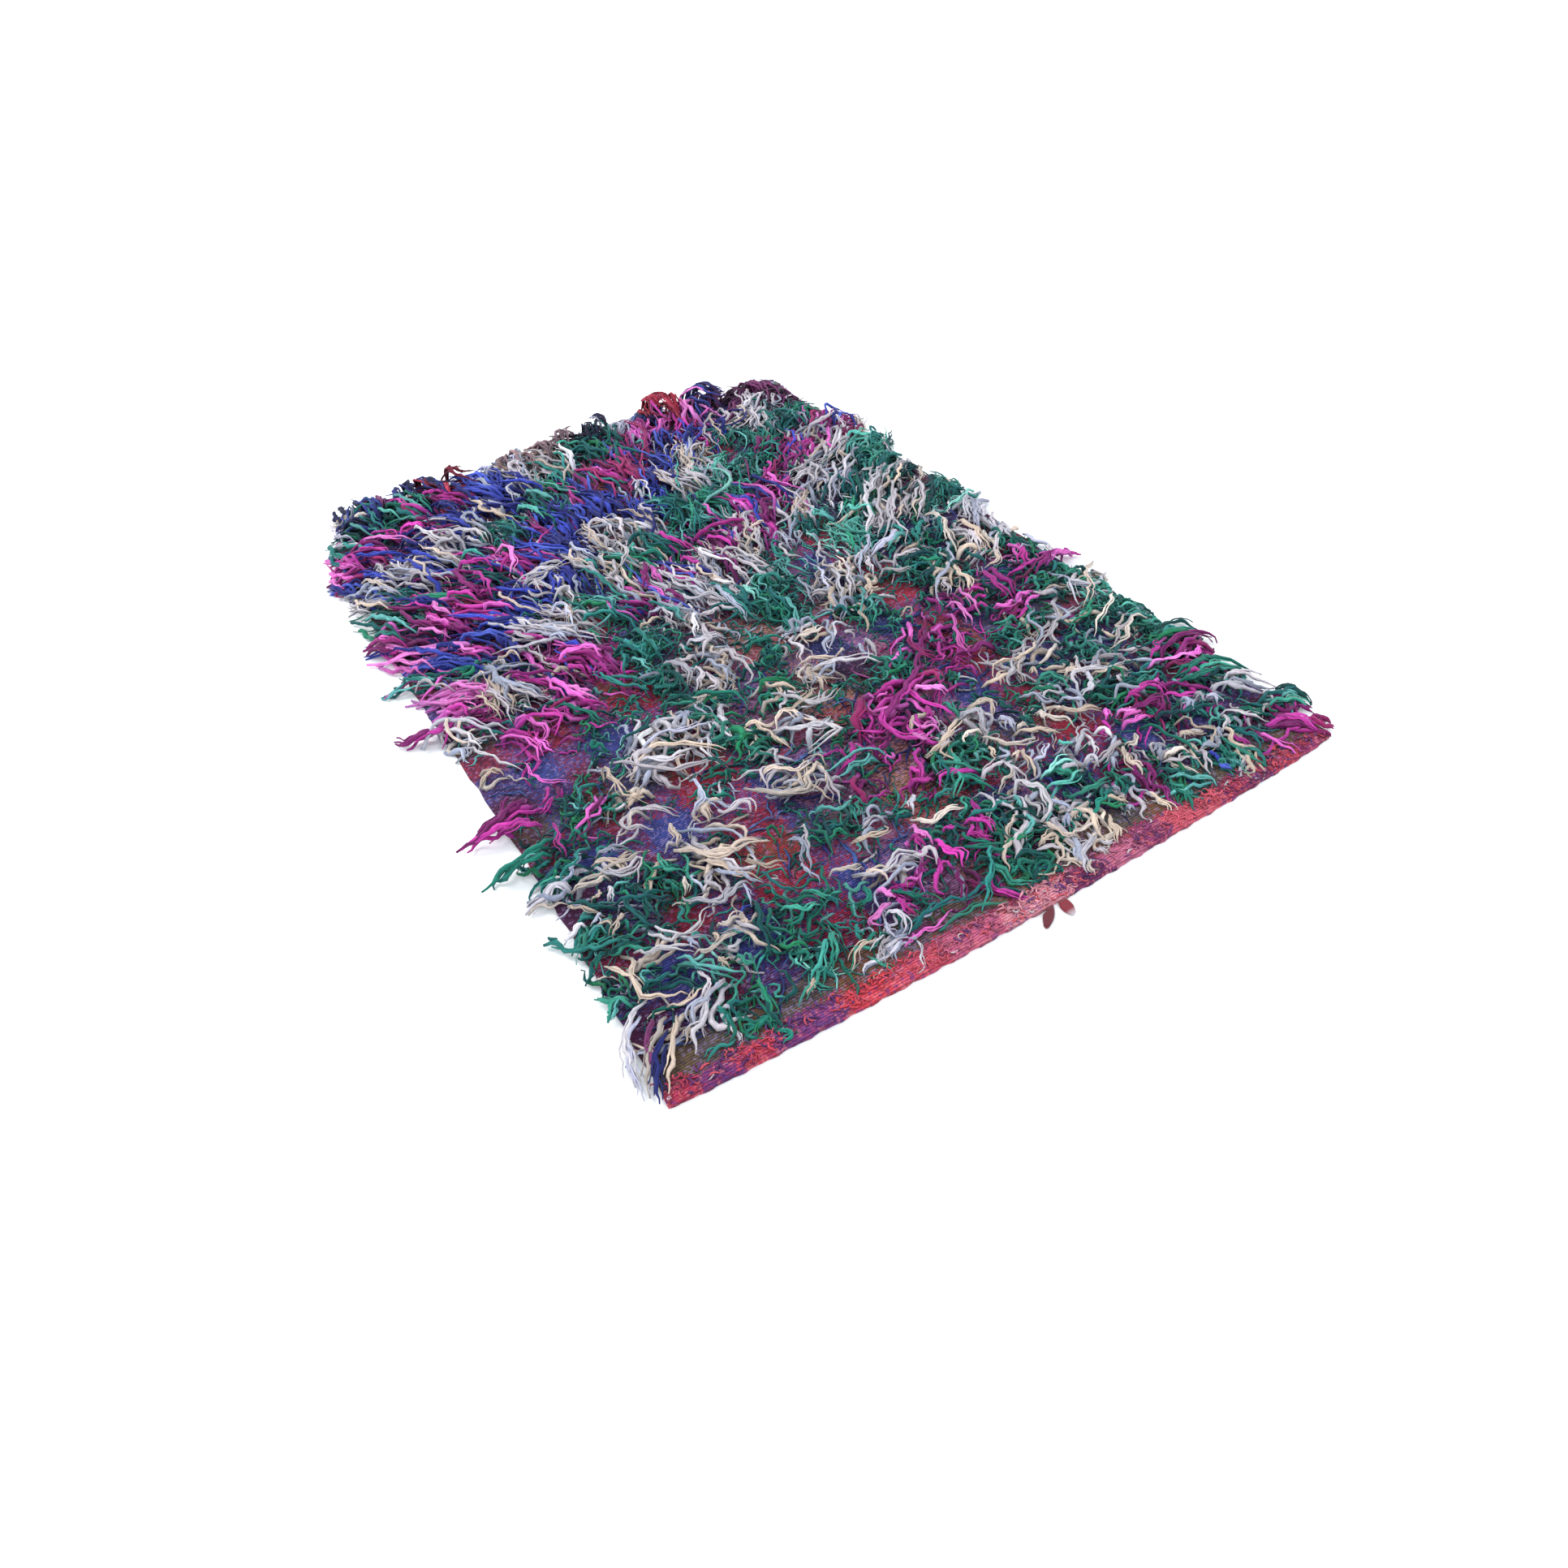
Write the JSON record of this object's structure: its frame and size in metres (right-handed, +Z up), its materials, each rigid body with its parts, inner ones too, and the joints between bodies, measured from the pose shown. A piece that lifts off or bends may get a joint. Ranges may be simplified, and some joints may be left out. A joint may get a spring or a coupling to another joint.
{
  "type": "tulu rug",
  "caption": "Shaggy long-pile wool rug lying flat: a striped flat-woven ground with a turned hem, thick with loose dyed wool locks",
  "frame": {"origin": "centre of the footprint, on the floor under the rug", "axes": "+Z up, X across the rug along its hemmed end, +Y along its length, away from the hemmed end"},
  "size_m": [1.0998, 1.5053, 0.0475],
  "materials": {
    "wool_pile": "long loose dyed wool locks, soft sheen",
    "ground_weave": "weft-faced marled wool flat-weave in bands",
    "wool_cream": "undyed wool locks",
    "wool_green": "dyed wool locks, matted",
    "wool_magenta": "dyed wool locks, smooth",
    "wool_blue": "dyed wool locks, smooth",
    "wool_mixed": "dyed wool locks in dark mixed colours",
    "red_felt": "felted wool"
  },
  "bodies": {
    "root": {"rug": "wool_pile", "tassel_left": "red_felt", "tassel_right": "red_felt"}
  },
  "joints": []
}
